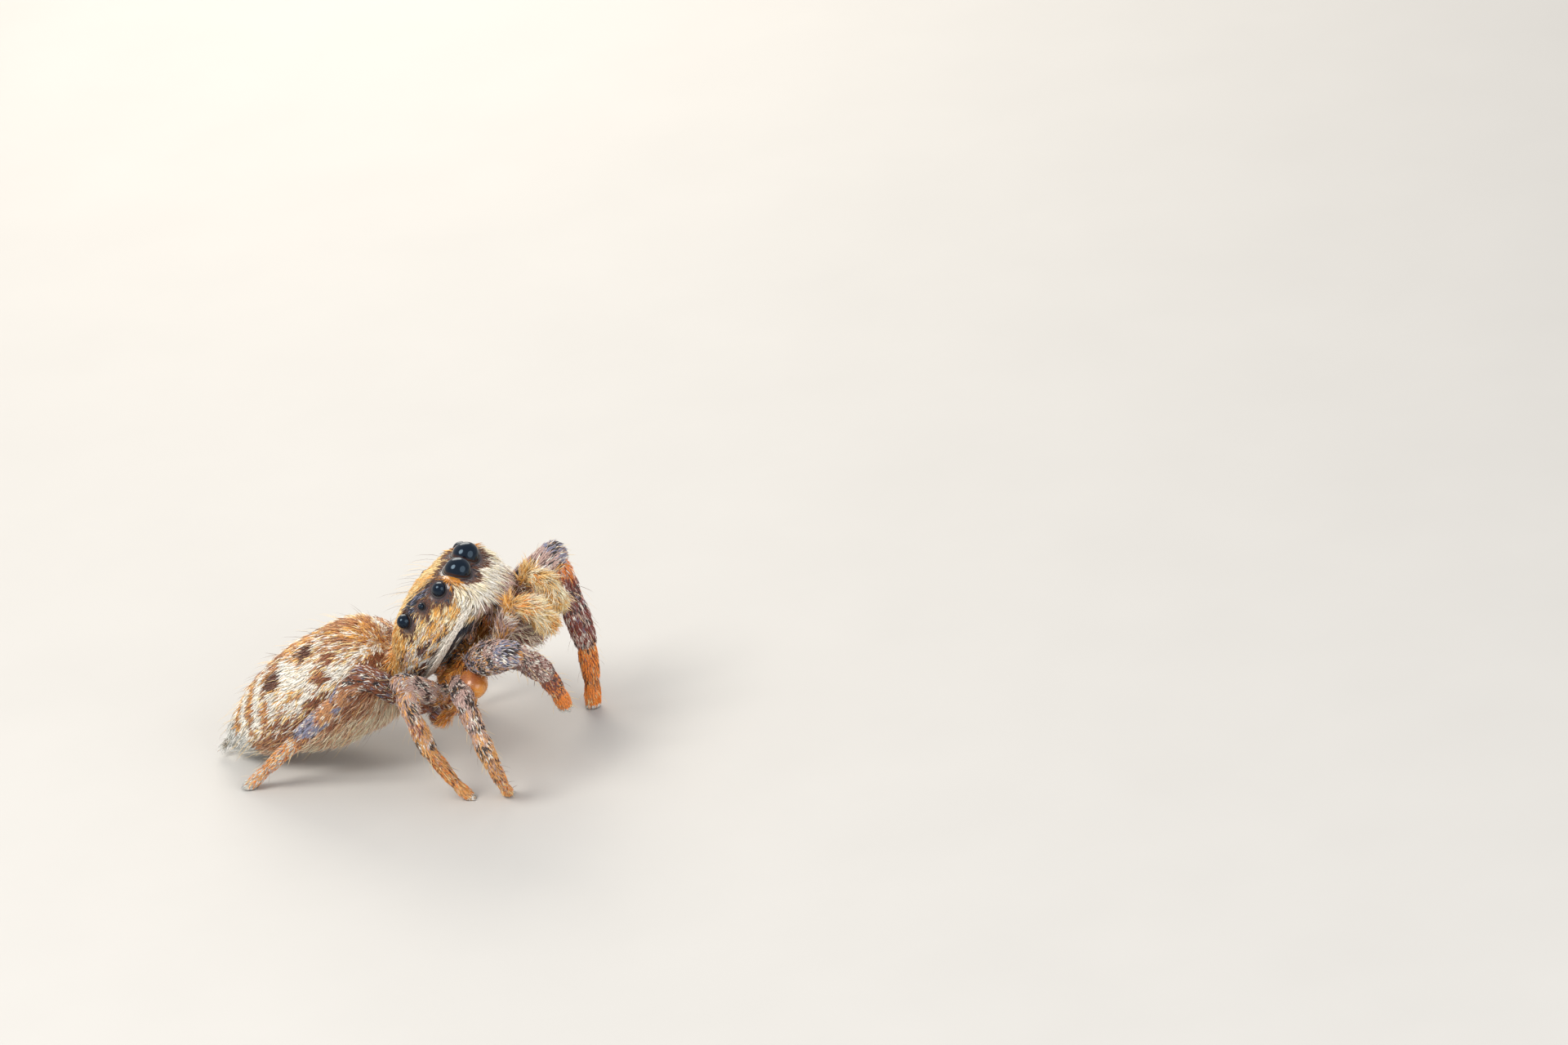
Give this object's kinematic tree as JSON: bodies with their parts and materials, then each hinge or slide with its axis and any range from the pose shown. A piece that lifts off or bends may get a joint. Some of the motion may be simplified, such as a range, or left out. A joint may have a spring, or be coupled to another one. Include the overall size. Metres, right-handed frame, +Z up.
{
  "type": "jumping spider",
  "caption": "Life-size still model of a small hairy jumping spider, standing with its front raised and one front leg lifted.",
  "frame": {"origin": "on the floor under the middle of the whole animal's box", "axes": "+X towards the head, +Y to the animal's left, +Z up"},
  "size_m": [0.0076, 0.0056, 0.0045],
  "materials": {
    "carapace": "cuticle under golden and grey-white scales",
    "underside": "smooth amber-brown cuticle",
    "abdomen": "soft skin under brown and cream hair",
    "spinneret": "pale hairy skin",
    "eye": "glossy black lens",
    "jaw": "smooth brown cuticle",
    "palp": "amber cuticle under long pale hair",
    "leg": "mottled grey-white and dark scales",
    "foot": "orange cuticle under fine hair"
  },
  "bodies": {
    "root": {"abdomen": "abdomen", "carapace": "carapace", "chelicera_left": "jaw", "chelicera_right": "jaw", "eye_anterior_lateral_left": "eye", "eye_anterior_lateral_right": "eye", "eye_anterior_median_left": "eye", "eye_anterior_median_right": "eye", "eye_posterior_lateral_left": "eye", "eye_posterior_lateral_right": "eye", "eye_posterior_median_left": "eye", "eye_posterior_median_right": "eye", "leg_1_left_femur": "leg", "leg_1_left_patella_tibia": "leg", "leg_1_left_tarsus": "foot", "leg_1_right_femur": "leg", "leg_1_right_patella_tibia": "leg", "leg_1_right_tarsus": "foot", "leg_2_left_femur": "leg", "leg_2_left_patella_tibia": "leg", "leg_2_left_tarsus": "foot", "leg_2_right_femur": "leg", "leg_2_right_patella_tibia": "leg", "leg_2_right_tarsus": "foot", "leg_3_left_femur": "leg", "leg_3_left_patella_tibia": "leg", "leg_3_left_tarsus": "foot", "leg_3_right_femur": "leg", "leg_3_right_patella_tibia": "leg", "leg_3_right_tarsus": "foot", "leg_4_left_femur": "leg", "leg_4_left_patella_tibia": "leg", "leg_4_left_tarsus": "foot", "leg_4_right_femur": "leg", "leg_4_right_patella_tibia": "leg", "leg_4_right_tarsus": "foot", "palp_left_femur": "palp", "palp_left_tarsus": "palp", "palp_right_femur": "palp", "palp_right_tarsus": "palp", "pedicel": "underside", "spinnerets": "spinneret", "sternum_and_coxae": "underside"}
  },
  "joints": []
}
